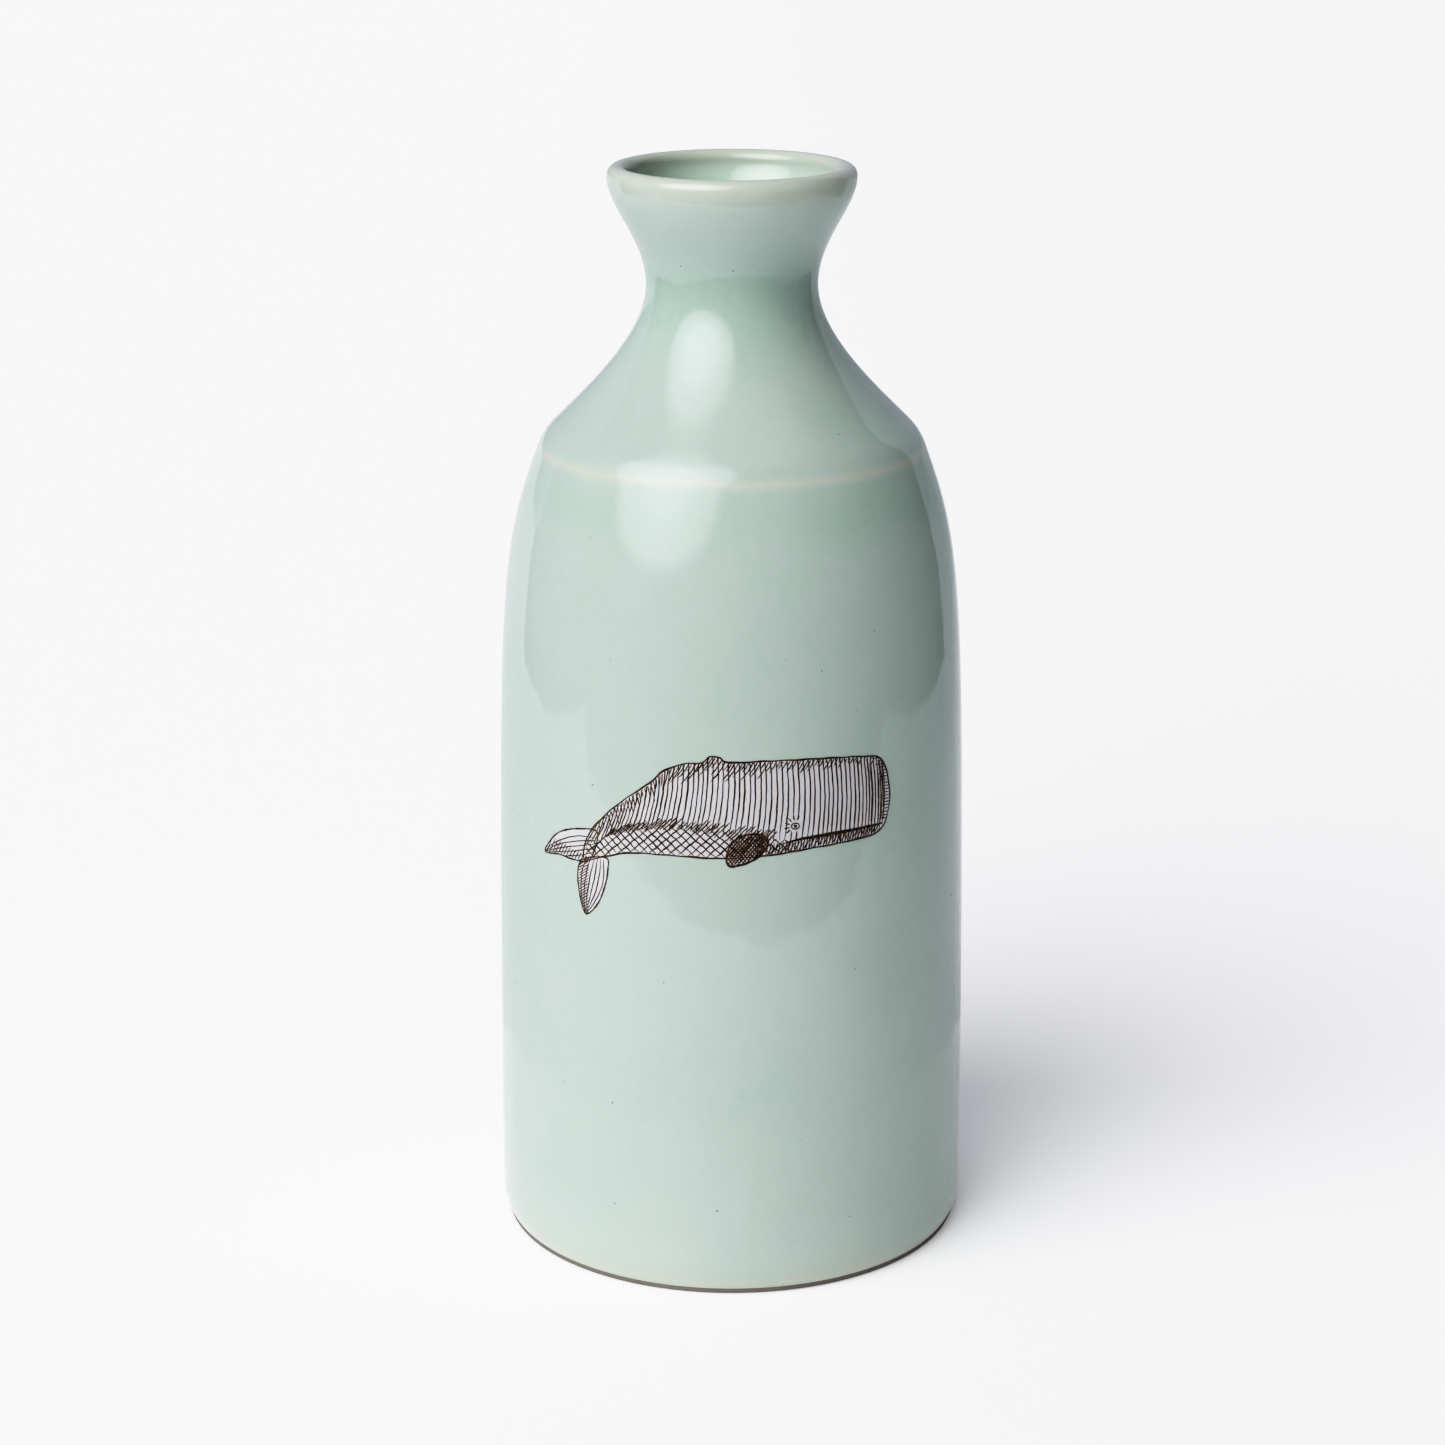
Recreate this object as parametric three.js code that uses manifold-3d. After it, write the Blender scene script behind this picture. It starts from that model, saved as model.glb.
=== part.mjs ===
// A celadon-glazed stoneware sake bottle, 168 mm tall, with a whale transfer
// fired onto its front.  Millimetres, +Z up; the origin is the middle of the
// foot on the surface the bottle stands on, and the transfer faces -Y.
//
// One outline drives every piece.  It climbs the outside of the wall, rolls
// over the lip and comes down the inside, and each layer is that same outline
// moved a set depth into the wall: glaze first, then the clay under it.

import * as THREE from 'three';
import { mergeVertices } from 'three/addons/utils/BufferGeometryUtils.js';
import Module from 'manifold-3d';

// ---- Outside of the bottle -------------------------------------------------
const HEIGHT = 167.8;
const BODY_RADIUS = 37.0; // widest, just above the foot
const FOOT_ROLL_IN = 2.0; // how far the wall curls under at the foot
const FOOT_ROLL_UP = 5.3; // height at which it starts to curl
const SHOULDER_EDGE = new THREE.Vector2(29.1, 126.6); // corner before rounding
const EDGE_ROUNDING = 1.6; // length rounded off on each side of that corner
const SHOULDER_JOIN = 125.4; // height at which body and shoulder were joined
const THROAT_RADIUS = 13.0;
const THROAT_HEIGHT = 149.9;
const LIP_RADIUS = 18.8; // outside of the lip
const LIP_BEAD = 1.6; // radius of the rounded lip

// ---- Wall, floor and foot --------------------------------------------------
const BODY_WALL = 3.8; // wall thickness of the body
const LIP_WALL = 2 * LIP_BEAD;
const THINNING_START = 105; // height above which the wall thins to the lip
const FLOOR_TOP = 6.6; // inside floor of the bottle
const FLOOR_FILLET = 6.0; // inside, between floor and wall
const FOOT_RECESS = 2.4; // depth of the hollow inside the foot ring
const FOOT_RING_WIDTH = 5.0;
const FOOT_CHAMFER = 0.5;

// ---- Layers ----------------------------------------------------------------
const GLAZE = 0.4; // thickness of the glaze
const FIT_GAP = 0.06; // clearance left between layers that lie on each other
const CLAY_DEPTH = GLAZE + FIT_GAP;
const GLAZE_EDGE = 0.4; // the glaze stops this far above the standing surface
const JOIN_GAP = 0.1; // clearance between the clay pieces
const PRINT = 0.12; // thickness of each printed coat of the transfer

// ---- Whale transfer, laid out flat and then wrapped round the wall ----------
const WHALE_MIDDLE = new THREE.Vector2(-3, 76); // arc to the right, height
const PRINT_LINE = 0.35; // width of a printed line
const HATCH_PITCH = 1.5; // spacing of the upright shading lines
const PRINT_BAND = [20, 110]; // part of the wall that a printed coat covers

const ROUND = 40; // flats round the bottle

const wasm = await Module();
wasm.setup();

// ---- The outline -----------------------------------------------------------

/** The outside of the wall from foot to lip, as curves with their step counts. */
function outsideCurves() {
  const v = (r, z) => new THREE.Vector2(r, z);
  const wallBend = [v(36.4, 106.7), v(35.5, 108.9)];
  const shoulderBend = v(25.7, 130.8);
  const along = (to) => to.clone().sub(SHOULDER_EDGE).setLength(EDGE_ROUNDING).add(SHOULDER_EDGE);
  const edgeBelow = along(wallBend[1]);
  const edgeAbove = along(shoulderBend);
  const throat = v(THROAT_RADIUS, THROAT_HEIGHT);
  const lip = v(LIP_RADIUS, HEIGHT - LIP_BEAD);
  const roll = new THREE.EllipseCurve(
    BODY_RADIUS - FOOT_ROLL_IN, FOOT_ROLL_UP, FOOT_ROLL_IN, FOOT_ROLL_UP,
    -Math.asin((FOOT_ROLL_UP - GLAZE_EDGE) / FOOT_ROLL_UP), 0, false, 0,
  );
  const wall = new THREE.CubicBezierCurve(
    v(BODY_RADIUS, FOOT_ROLL_UP), wallBend[0], wallBend[1], edgeBelow,
  );
  const edge = new THREE.QuadraticBezierCurve(edgeBelow, SHOULDER_EDGE, edgeAbove);
  const shoulder = new THREE.CubicBezierCurve(
    edgeAbove, shoulderBend, v(THROAT_RADIUS, THROAT_HEIGHT - 8.9), throat,
  );
  const flare = new THREE.CubicBezierCurve(
    throat, v(THROAT_RADIUS, THROAT_HEIGHT + 6.8), v(LIP_RADIUS, lip.y - 4.6), lip,
  );
  return [[roll, 3], [wall, 7], [edge, 2], [shoulder, 7], [flare, 5]];
}

/** Points up the outside, each with the direction that leads into the wall. */
function outsideStations() {
  const stations = [];
  for (const [curve, steps] of outsideCurves()) {
    for (let i = stations.length ? 1 : 0; i <= steps; i += 1) {
      const point = curve.getPoint(i / steps);
      const tangent = curve.getTangent(i / steps);
      stations.push({ point, inward: new THREE.Vector2(-tangent.y, tangent.x) });
    }
  }
  return stations;
}

const STATIONS = outsideStations();

/** Wall thickness at a height: even up the body, then thinning to the lip. */
function wallThickness(z) {
  const rise = (z - THINNING_START) / (HEIGHT - LIP_BEAD - THINNING_START);
  return THREE.MathUtils.lerp(BODY_WALL, LIP_WALL, THREE.MathUtils.clamp(rise, 0, 1));
}

const moved = (station, depth) => station.point.clone().addScaledVector(station.inward, depth);

/** The outside wall, `depth` into it, from the foot up to the lip. */
function outsideWall(depth) {
  return STATIONS.map((station) => moved(station, depth));
}

/** A quarter of the lip's bead: 0 to 1 is outside to crest, 1 to 2 crest to inside. */
function lipQuarter(depth, quarter) {
  const steps = 3;
  const centre = new THREE.Vector2(LIP_RADIUS - LIP_BEAD, HEIGHT - LIP_BEAD);
  const points = [];
  for (let i = quarter ? 0 : 1; i <= steps; i += 1) {
    const angle = ((quarter + i / steps) * Math.PI) / 2;
    const reach = LIP_BEAD - depth;
    points.push(new THREE.Vector2(
      centre.x + reach * Math.cos(angle), centre.y + reach * Math.sin(angle),
    ));
  }
  return points;
}

/** The inside wall from the lip down to the floor's middle, `depth` into the clay. */
function insideWall(depth) {
  const fillet = FLOOR_FILLET + depth;
  const filletTop = FLOOR_TOP + FLOOR_FILLET;
  const points = STATIONS
    .filter((station) => station.point.y > filletTop + 2)
    .map((station) => moved(station, wallThickness(station.point.y) - depth))
    .slice(0, -1)
    .reverse();
  const steps = 4;
  const centreR = BODY_RADIUS - BODY_WALL - FLOOR_FILLET;
  for (let i = 0; i <= steps; i += 1) {
    const angle = (i / steps) * (Math.PI / 2);
    points.push(new THREE.Vector2(
      centreR + fillet * Math.cos(angle), filletTop - fillet * Math.sin(angle),
    ));
  }
  points.push(new THREE.Vector2(0, FLOOR_TOP - depth));
  return points;
}

// ---- Solids ----------------------------------------------------------------

/** Turns a closed outline round the upright axis. */
function turned(points) {
  const geometry = new THREE.LatheGeometry(points, ROUND);
  geometry.rotateX(Math.PI / 2);
  return geometry;
}

/** A solid that can be cut and joined, from a closed geometry. */
function solid(geometry) {
  geometry.deleteAttribute('normal');
  geometry.deleteAttribute('uv');
  const merged = mergeVertices(geometry, 1e-5);
  const triangles = [];
  for (let i = 0; i < merged.index.count; i += 3) {
    const [a, b, c] = [0, 1, 2].map((k) => merged.index.getX(i + k));
    if (a !== b && b !== c && c !== a) triangles.push(a, b, c);
  }
  return new wasm.Manifold(new wasm.Mesh({
    numProp: 3,
    vertProperties: merged.attributes.position.array,
    triVerts: new Uint32Array(triangles),
  }));
}

/** A drawable geometry from a solid. */
function geometryOf(body) {
  const mesh = body.getMesh();
  const geometry = new THREE.BufferGeometry();
  geometry.setAttribute('position', new THREE.BufferAttribute(mesh.vertProperties, 3));
  geometry.setIndex(new THREE.BufferAttribute(mesh.triVerts, 1));
  const flat = geometry.toNonIndexed();
  flat.computeVertexNormals();
  return flat;
}

/** A wide slab between two heights, which keeps that slice of whatever it meets. */
function slab(low, high) {
  const geometry = new THREE.BoxGeometry(3 * BODY_RADIUS, 3 * BODY_RADIUS, high - low);
  geometry.translate(0, 0, (low + high) / 2);
  return solid(geometry);
}

/** The whole fired clay body, before it is divided where its pieces were joined. */
function clayBody() {
  const v = (r, z) => new THREE.Vector2(r, z);
  const footOuter = BODY_RADIUS - FOOT_ROLL_IN - CLAY_DEPTH;
  const footInner = footOuter - FOOT_RING_WIDTH;
  return solid(turned([
    v(0, FOOT_RECESS),
    v(footInner - FOOT_CHAMFER, FOOT_RECESS),
    v(footInner, FOOT_CHAMFER),
    v(footInner + FOOT_CHAMFER, 0),
    v(footOuter - FOOT_CHAMFER, 0),
    v(footOuter, FOOT_CHAMFER),
    ...outsideWall(CLAY_DEPTH),
    ...lipQuarter(CLAY_DEPTH, 0),
    ...lipQuarter(CLAY_DEPTH, 1).slice(1),
    ...insideWall(CLAY_DEPTH),
  ]));
}

const CLAY = clayBody();

/** The ring of bare clay that the bottle stands on. */
function footRing() {
  return geometryOf(CLAY.intersect(slab(-1, FOOT_RECESS - JOIN_GAP)));
}

/** The thrown body: floor and wall, up to the shoulder. */
function lowerBody() {
  return geometryOf(CLAY.intersect(slab(FOOT_RECESS, SHOULDER_JOIN)));
}

/** The thrown top: cone-shaped shoulder, neck and flared mouth. */
function shoulderAndNeck() {
  return geometryOf(CLAY.intersect(slab(SHOULDER_JOIN + JOIN_GAP, HEIGHT + 1)));
}

/** The glaze on the outside, from just above the foot to the crest of the lip. */
function outerGlaze() {
  const face = [...outsideWall(0), ...lipQuarter(0, 0)];
  const back = [...outsideWall(GLAZE), ...lipQuarter(GLAZE, 0)].reverse();
  return turned([...face, ...back, face[0].clone()]);
}

/** The glaze poured inside, from the crest of the lip to the floor. */
function innerGlaze() {
  const sunk = new THREE.Vector2(0, -FIT_GAP); // keeps it off the outer glaze
  const lip = (depth) => lipQuarter(depth, 1).slice(1);
  const face = [...lip(0), ...insideWall(0)];
  const back = [...lip(GLAZE), ...insideWall(GLAZE)].reverse();
  face[0].add(sunk);
  back[back.length - 1].add(sunk);
  return turned([...face, ...back, face[0].clone()]);
}

// ---- The whale transfer ----------------------------------------------------

/** Outline of each part of the whale, in millimetres from WHALE_MIDDLE. */
const BACK = [
  [-19.6, -2.8], [-16.4, 0.6], [-13, 3.4], [-9.6, 5.9], [-7.6, 7.8], [-4.6, 9.1],
  [-1.6, 9.5], [-0.4, 10.4], [1.2, 10.3], [2.4, 9.6], [8.5, 9.7], [15.5, 9.5],
];
const HEAD = [[22, 9], [26.8, 8.2], [28.4, 6.2], [29.2, 2.6], [28.8, -0.8], [26.8, -3.4]];
const BELLY = [
  [21, -3.9], [14.5, -4.2], [8, -4.8], [1, -5.1], [-5.5, -5], [-12.5, -5.3],
  [-17.2, -6.6], [-21, -7.8], [-20.9, -5.2],
];
const UPPER_FLUKE = [
  [-18.6, -3.2], [-22, -3.2], [-25.8, -4.4], [-28.2, -6.2], [-29.8, -8.6], [-26.4, -8.2],
  [-23, -8.3], [-20, -7.6],
];
const LOWER_FLUKE = [
  [-17, -6.8], [-20.9, -7.6], [-22.3, -9.4], [-22.2, -12.6], [-20.9, -16.3], [-18.6, -14.4],
  [-17.2, -11.2], [-16.7, -8.6],
];
const FLIPPER = [[2.2, -4.9], [3, -2.6], [5.2, -1.5], [7.6, -1.6], [8.4, -2.9], [7.2, -4.7], [5, -5.9], [2.6, -6.3]];

/** A smooth closed line through points, in flat transfer coordinates. */
function closedLine(points, steps) {
  const curve = new THREE.CatmullRomCurve3(
    points.map(([s, z]) => new THREE.Vector3(s, z, 0)), true, 'centripetal',
  );
  return curve.getPoints(steps).slice(0, -1).map((p) => new THREE.Vector2(p.x, p.y));
}

/** Where a flat transfer point lands when seen from the front, once wrapped. */
function wrapped(point) {
  const arc = (point.x + WHALE_MIDDLE.x) / BODY_RADIUS;
  return new THREE.Vector2(BODY_RADIUS * Math.sin(arc), point.y + WHALE_MIDDLE.y);
}

/** A block with a flat transfer outline for its section, reaching out to the front. */
function block(outline) {
  const geometry = new THREE.ExtrudeGeometry(
    new THREE.Shape(outline.map(wrapped)), { depth: 2 * BODY_RADIUS, bevelEnabled: false },
  );
  geometry.rotateX(Math.PI / 2);
  return solid(geometry);
}

/** A printed coat over the whole wall, from which a print's shape is cut. */
function coat(height) {
  const band = STATIONS.filter(({ point }) => point.y > PRINT_BAND[0] && point.y < PRINT_BAND[1]);
  const face = band.map((station) => moved(station, -height - PRINT));
  const back = band.map((station) => moved(station, -height)).reverse();
  return solid(turned([...face, ...back, face[0].clone()]));
}

/** A line of even width along a closed outline. */
function contour(outline) {
  const grown = (offset) => outline.map((point, i) => {
    const before = outline[(i + outline.length - 1) % outline.length];
    const after = outline[(i + 1) % outline.length];
    const run = after.clone().sub(before).normalize();
    return new THREE.Vector2(point.x - offset * run.y, point.y + offset * run.x);
  });
  const wide = block(grown(PRINT_LINE / 2));
  const narrow = block(grown(-PRINT_LINE / 2));
  return wide.volume() > narrow.volume() ? wide.subtract(narrow) : narrow.subtract(wide);
}

/** The parts of the whale as closed outlines. */
function whaleOutlines() {
  return [
    closedLine([...BACK, ...HEAD, ...BELLY], 72),
    closedLine(UPPER_FLUKE, 20),
    closedLine(LOWER_FLUKE, 20),
    closedLine(FLIPPER, 16),
  ];
}

/** The pale underprint: one flat tone in the shape of the whale. */
function transferGround() {
  const shape = whaleOutlines().map(block).reduce((sum, part) => sum.add(part));
  return geometryOf(shape.intersect(coat(FIT_GAP)));
}

/** The dark line print: the whale's contour and its upright shading lines. */
function transferLines() {
  const outlines = whaleOutlines();
  let lines = outlines.map(contour).reduce((sum, part) => sum.add(part));
  const body = block(outlines[0]);
  for (let s = -18; s < 28; s += HATCH_PITCH) {
    const half = PRINT_LINE / 2;
    const bar = [[s - half, -12], [s + half, -12], [s + half, 12], [s - half, 12]];
    lines = lines.add(block(bar.map(([x, z]) => new THREE.Vector2(x, z))).intersect(body));
  }
  return geometryOf(lines.intersect(coat(2 * FIT_GAP + PRINT)));
}

// ---- Finishes --------------------------------------------------------------

const finish = (color, roughness) => new THREE.MeshStandardMaterial({ color, roughness, metalness: 0 });
const celadonGlaze = () => finish('#b9cfc2', 0.12);
const stonewareClay = () => finish('#d9d0c0', 0.8);
const bareFootClay = () => finish('#cdbda6', 0.85);
const paleUnderprint = () => finish('#d8d5dc', 0.3);
const sepiaInk = () => finish('#3a2c26', 0.35);

// ---- Assembly --------------------------------------------------------------

function piece(name, geometry, material) {
  const mesh = new THREE.Mesh(geometry, material);
  mesh.name = name;
  return mesh;
}

const bottle = new THREE.Group();
bottle.add(
  piece('foot_ring', footRing(), bareFootClay()),
  piece('lower_body', lowerBody(), stonewareClay()),
  piece('shoulder_and_neck', shoulderAndNeck(), stonewareClay()),
  piece('outer_glaze', outerGlaze(), celadonGlaze()),
  piece('inner_glaze', innerGlaze(), celadonGlaze()),
  piece('transfer_ground', transferGround(), paleUnderprint()),
  piece('transfer_lines', transferLines(), sepiaInk()),
);

export default bottle;
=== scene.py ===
# %% [markdown]
# # A celadon sake bottle
#
# The bottle is a small thrown stoneware flask with a pale green celadon glaze and a whale
# printed on its front.  This lesson dresses a finished CAD model of it: the CAD model gives
# the true sizes and the list of parts, and each cell here makes the surface that the eye
# sees.  Everything is in metres and shares the CAD model's frame, with the foot's middle at
# the origin, +Z up and the print facing -Y.

import math
import random

import bmesh
import bpy
import numpy as np
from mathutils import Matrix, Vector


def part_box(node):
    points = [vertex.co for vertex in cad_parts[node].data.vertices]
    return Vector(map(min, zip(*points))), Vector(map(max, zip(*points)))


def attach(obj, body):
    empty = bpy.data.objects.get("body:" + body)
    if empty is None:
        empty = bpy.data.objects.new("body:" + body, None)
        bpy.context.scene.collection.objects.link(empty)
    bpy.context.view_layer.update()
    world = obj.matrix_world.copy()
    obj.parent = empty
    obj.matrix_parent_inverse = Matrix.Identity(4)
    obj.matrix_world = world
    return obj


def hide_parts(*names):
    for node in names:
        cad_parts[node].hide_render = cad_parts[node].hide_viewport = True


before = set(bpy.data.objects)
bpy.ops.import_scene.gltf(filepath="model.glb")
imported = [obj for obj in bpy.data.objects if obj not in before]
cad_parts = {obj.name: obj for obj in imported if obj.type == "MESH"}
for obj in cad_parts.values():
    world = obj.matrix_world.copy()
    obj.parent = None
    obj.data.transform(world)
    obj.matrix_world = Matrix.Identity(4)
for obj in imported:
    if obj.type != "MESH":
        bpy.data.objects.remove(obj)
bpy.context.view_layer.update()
MM = 0.001
print("CAD nodes:", ", ".join(sorted(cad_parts)))

# %% [markdown]
# ## Driving sizes
#
# A potter would give four numbers for this bottle: how tall, how wide, how wide the mouth
# is, and where the shoulder sits.  The height and the widths are read from the CAD parts, so
# a change of size there changes this script too.  Lengths below are in millimetres, because
# that is how a potter measures, and become metres only when a mesh is made.

# %% Sizes
glaze_low, glaze_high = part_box("outer_glaze")
foot_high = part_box("foot_ring")[1]
HEIGHT = glaze_high.z / MM
BODY_RADIUS = glaze_high.x / MM
GLAZE_EDGE = glaze_low.z / MM
FOOT_OUTER = foot_high.x / MM
SHOULDER_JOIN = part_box("lower_body")[1].z / MM
THROAT_RADIUS, THROAT_HEIGHT = 13.0, HEIGHT - 17.9
LIP_RADIUS, LIP_BEAD = 18.8, 1.6
BODY_WALL, LIP_WALL, THINNING_START = 3.8, 2 * LIP_BEAD, 105.0
FLOOR_TOP, FLOOR_FILLET = 6.6, 6.0
FOOT_RECESS, FOOT_WIDTH, FOOT_CHAMFER = 2.4, 5.0, 0.5
GLAZE, CLAY_DEPTH = 0.4, 0.46
print(f"height {HEIGHT:.1f} mm, width {2 * BODY_RADIUS:.1f} mm, shoulder join at {SHOULDER_JOIN:.1f} mm")

# %% [markdown]
# ## The camera
#
# The bottle is looked down on slightly, from half a metre in front, with a short telephoto
# lens.  A long lens close to a small object keeps its sides nearly upright and still shows
# the ellipse of the mouth.  The camera is placed by its distance and its downward tilt, which
# is easier to reason about than three coordinates.

# %% Camera
CAMERA_DISTANCE, CAMERA_TILT = 534.35, math.radians(17.106)
AIM_HEIGHT, AIM_SIDE = 80.67, -1.41
camera_data = bpy.data.cameras.new("camera")
camera_data.lens = 85
camera_data.sensor_width = 36
camera = bpy.data.objects.new("camera", camera_data)
bpy.context.scene.collection.objects.link(camera)
camera.location = (
    AIM_SIDE * MM,
    -CAMERA_DISTANCE * math.cos(CAMERA_TILT) * MM,
    (AIM_HEIGHT + CAMERA_DISTANCE * math.sin(CAMERA_TILT)) * MM,
)
camera.rotation_euler = (math.pi / 2 - CAMERA_TILT, 0, 0)
bpy.context.scene.camera = camera
print("camera at", tuple(round(v, 4) for v in camera.location))

# %% [markdown]
# ## Two small helpers for materials
#
# Colours are written as sRGB hex, the numbers a colour picker gives, and Blender's shaders
# work in linear light, so one function converts.  A second function adds a shader node with
# its settings and its links in one line, which keeps each material short enough to read.

# %% Material helpers
def linear(hex_colour):
    """A linear RGBA colour from an sRGB hex string."""
    channels = [int(hex_colour[i : i + 2], 16) / 255 for i in (1, 3, 5)]
    return tuple(c / 12.92 if c <= 0.04045 else ((c + 0.055) / 1.055) ** 2.4 for c in channels) + (1.0,)


def add(tree, kind, inputs=None, **settings):
    """Adds a shader node; each input is a number, a colour or another node's output."""
    node = tree.nodes.new("ShaderNode" + kind)
    for name, value in settings.items():
        setattr(node, name, value)
    for socket, value in (inputs or {}).items():
        if isinstance(value, bpy.types.NodeSocket):
            tree.links.new(value, node.inputs[socket])
        else:
            node.inputs[socket].default_value = value
    return node


def start_material(name):
    """An empty material, its node tree, its surface shader and the place of each point."""
    material = bpy.data.materials.new(name)
    material.use_nodes = True
    tree = material.node_tree
    shader = tree.nodes["Principled BSDF"]
    place = add(tree, "TexCoord").outputs["Object"]
    return material, tree, shader, place


print("mid grey in linear light:", round(linear("#808080")[0], 3))

# %% [markdown]
# ## The studio
#
# A glossy pot shows its surroundings as much as itself, so the studio matters.  There is a
# round softbox high on the left in front, a white backdrop behind, a darker room at the
# sides, and a white table.  The softbox and walls could be built as lamps and panels, but
# painting them into the world shader by direction gives an even light over the whole table,
# which is what a plain pale floor needs, and lets the lamp's edge be as soft as wanted.

# %% World light
LAMP_TURN, LAMP_RISE = math.radians(-41), math.radians(41)
LAMP_RADIUS, LAMP_SOFTNESS = math.radians(31), math.radians(4)
BACKDROP_TURN, BACKDROP_SPREAD = math.radians(183), math.radians(54.5)
LAMP_POWER, CEILING_POWER, BACKDROP_POWER = 5.07, 0.74, 0.62
FRONT_POWER, LEFT_POWER, RIGHT_POWER = 0.095, 0.14, 0.0
BACKDROP_CORE = 0.97  # share of the spread that is at full power
LAMP_RIM_SHARE, LAMP_MIDDLE_SHARE = 0.7, 1.4  # a softbox is brightest in its middle
SEEN_SKY_POWER = 1.2  # what the camera itself sees behind the table
lamp_direction = (
    math.cos(LAMP_RISE) * math.sin(LAMP_TURN),
    -math.cos(LAMP_RISE) * math.cos(LAMP_TURN),
    math.sin(LAMP_RISE),
)
world = bpy.data.worlds.new("studio")
bpy.context.scene.world = world
world.use_nodes = True
tree = world.node_tree

looking = add(tree, "TexCoord").outputs["Generated"]
ray = add(tree, "VectorMath", {0: looking}, operation="NORMALIZE").outputs[0]
flat_ray = add(tree, "VectorMath", {0: ray, 1: (1, 1, 0)}, operation="MULTIPLY").outputs[0]
bearing = add(tree, "VectorMath", {0: flat_ray}, operation="NORMALIZE").outputs[0]
bearing_parts = add(tree, "SeparateXYZ", {0: bearing})
rightward, backward = bearing_parts.outputs[0], bearing_parts.outputs[1]
upward = add(tree, "SeparateXYZ", {0: ray}).outputs[2]
backdrop_bearing = (math.sin(BACKDROP_TURN), -math.cos(BACKDROP_TURN), 0)
to_lamp = add(tree, "VectorMath", {0: ray, 1: lamp_direction}, operation="DOT_PRODUCT")
to_backdrop = add(tree, "VectorMath", {0: bearing, 1: backdrop_bearing}, operation="DOT_PRODUCT")
towards_lamp, towards_backdrop = to_lamp.outputs["Value"], to_backdrop.outputs["Value"]
inner_rim = math.cos(LAMP_RADIUS - LAMP_SOFTNESS)
outer_rim = math.cos(LAMP_RADIUS + LAMP_SOFTNESS)
backdrop_rim = math.cos(BACKDROP_SPREAD)
backdrop_core = math.cos(BACKDROP_CORE * BACKDROP_SPREAD)
rim_power, middle_power = LAMP_RIM_SHARE * LAMP_POWER, LAMP_MIDDLE_SHARE * LAMP_POWER
face_limits = {0: towards_lamp, 1: inner_rim, 2: 1.0, 3: rim_power, 4: middle_power}
lamp_face = add(tree, "MapRange", face_limits, interpolation_type="SMOOTHSTEP").outputs[0]

# Each layer covers the ones before it, where its measure passes from one limit to the other.
sky_layers = {
    "right side": (rightward, -0.05, 0.05, RIGHT_POWER),
    "front": (backward, -0.22, -0.32, FRONT_POWER),
    "backdrop": (towards_backdrop, backdrop_rim, backdrop_core, BACKDROP_POWER),
    "ceiling": (upward, 0.80, 0.95, CEILING_POWER),
    "lamp": (towards_lamp, outer_rim, inner_rim, lamp_face),
}
brightness, masks = LEFT_POWER, {}
for layer, (measure, starts, full, power) in sky_layers.items():
    limits = {0: measure, 1: starts, 2: full}
    masks[layer] = add(tree, "MapRange", limits, interpolation_type="SMOOTHSTEP").outputs[0]
    cover = {0: masks[layer], 2: brightness, 3: power}
    brightness = add(tree, "Mix", cover, data_type="FLOAT").outputs[0]

seen = add(tree, "LightPath").outputs["Is Camera Ray"]
strength = add(tree, "Mix", {0: seen, 2: brightness, 3: SEEN_SKY_POWER}, data_type="FLOAT")
tints = {0: masks["backdrop"], 6: linear("#FFFFFF"), 7: linear("#EEF0FF")}
tint = add(tree, "Mix", tints, data_type="RGBA")
background = tree.nodes["Background"]
tree.links.new(tint.outputs[2], background.inputs["Color"])
tree.links.new(strength.outputs[0], background.inputs["Strength"])
print("lamp direction", tuple(round(v, 2) for v in lamp_direction))

# %% [markdown]
# ## The print curve
#
# A pale pot on a white table needs white whites and deep greens at once.  One curve gives
# both: it rises steeply through the middle tones and rolls off gently near white.  Its white
# level is set above 1, because a curve that ends at 1 would clip the table to one flat tone.

# %% Print curve
view = bpy.context.scene.view_settings
view.view_transform = "Standard"
view.use_curve_mapping = True
CONTRAST, EXPOSURE, BRIGHTEST = 1.86, 1.68, 2.5
contrast = view.curve_mapping
contrast.white_level = (BRIGHTEST, BRIGHTEST, BRIGHTEST)
tone = contrast.curves[3].points
for level in (0.06, 0.14, 0.24, 0.36, 0.5, 0.65, 0.8, 1.0, 1.25, 1.6, 2.0):
    tone.new(level / BRIGHTEST, 1 - math.exp(-EXPOSURE * level**CONTRAST))
contrast.update()
print("mid tone 0.5 prints as", round(1 - math.exp(-EXPOSURE * 0.5**CONTRAST), 3))

# %% [markdown]
# ## The table
#
# The bottle stands on a white table that runs out of sight.  A smooth matt white, a diffuse
# surface, takes the bottle's soft shadow and bounces light back into its lower half.  The
# table is painted a little darker towards the right, a painted shade, and glows faintly, a
# painted light that lifts the shadow.  In a real studio the lit part of the table ends, and a
# celadon wall shows its end as a curved edge where the white reflection stops.  A sheet that
# only reflections can see has that outline: a painted reflection, pale inside it and darker
# towards the right as painted shade, and dark outside, so the table itself needs no edge.

# %% Table and its lit edge
def matt_paint(name, left_tone, right_tone, starts, full):
    """A matt paint that changes from one tone to another, from left to right; the darker right-hand tone
    is painted shade.
    """
    material, tree, shader, place = start_material(name)
    sideways = add(tree, "SeparateXYZ", {0: place}).outputs[0]
    limits = {0: sideways, 1: starts, 2: full}
    share = add(tree, "MapRange", limits, interpolation_type="SMOOTHSTEP").outputs[0]
    tones = {0: share, 6: linear(left_tone), 7: linear(right_tone)}
    tone = add(tree, "Mix", tones, data_type="RGBA")
    tree.links.new(tone.outputs[2], shader.inputs["Base Color"])
    shader.inputs["Roughness"].default_value = 1.0
    shader.inputs["Specular IOR Level"].default_value = 0.0
    return material


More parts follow.
